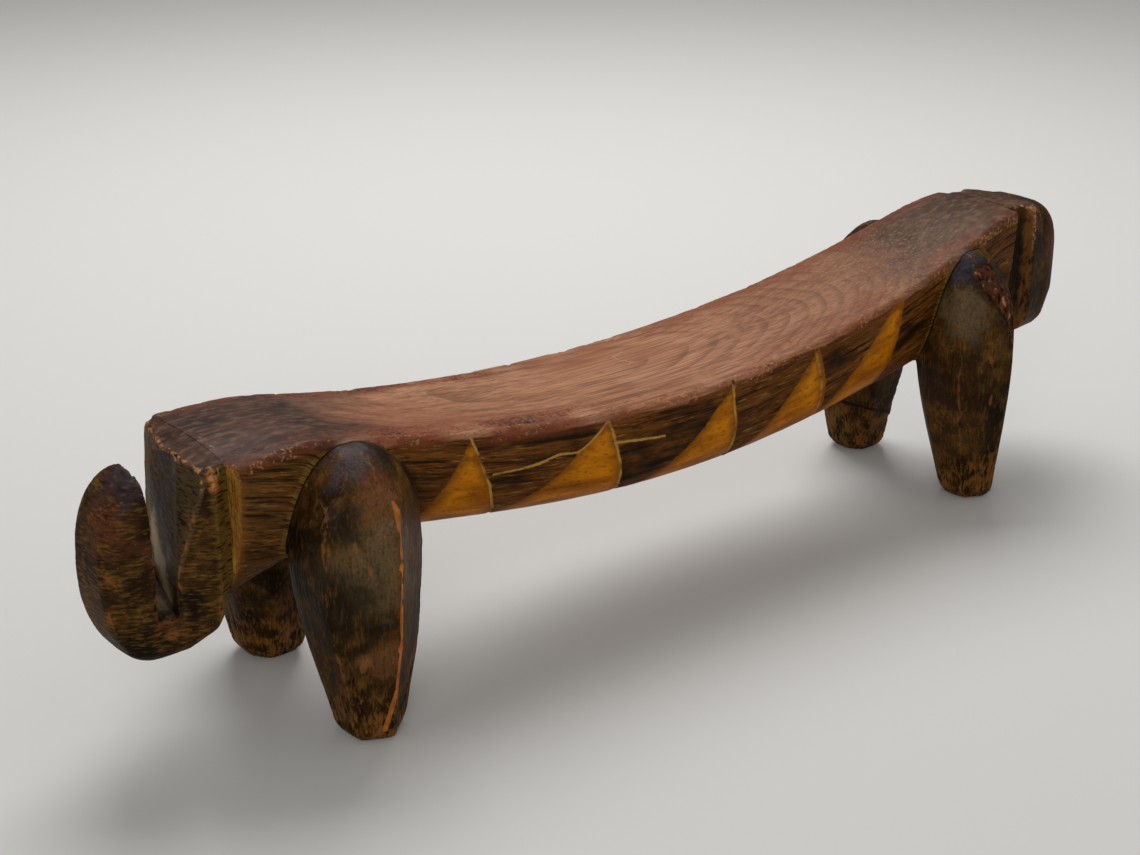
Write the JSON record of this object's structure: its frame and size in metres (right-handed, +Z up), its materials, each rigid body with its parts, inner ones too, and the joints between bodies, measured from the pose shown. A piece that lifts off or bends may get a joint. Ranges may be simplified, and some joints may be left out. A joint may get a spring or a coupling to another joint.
{
  "type": "headrest stool",
  "caption": "Long low carved headrest stool in the form of a four-legged animal, with a dished seat, swelling legs, a curled trunk and a rounded tail.",
  "frame": {"origin": "middle of the stool's length and width, on the floor", "axes": "+X along the seat from the head to the tail, +Y across to the animal's right side, +Z up"},
  "size_m": [0.4438, 0.1094, 0.1113],
  "materials": {
    "seat_beam": "worn satin seat over scorched sides with reserved honey-coloured triangles",
    "head": "scorched and rubbed, satin",
    "tail": "scorched and rubbed, satin",
    "front_left_leg": "scorched, chisel-cut facets, rubbed bare on the arrises",
    "front_right_leg": "scorched, chisel-cut facets, rubbed bare on the arrises",
    "rear_left_leg": "scorched, chisel-cut facets, rubbed bare on the arrises",
    "rear_right_leg": "scorched, chisel-cut facets, rubbed bare on the arrises",
    "rear_right_foot": "worn bare wood"
  },
  "bodies": {
    "root": {"seat_beam": "seat_beam", "head": "head", "tail": "tail", "front_left_leg": "front_left_leg", "front_right_leg": "front_right_leg", "rear_left_leg": "rear_left_leg", "rear_right_leg": "rear_right_leg", "rear_right_foot": "rear_right_foot"}
  },
  "joints": []
}
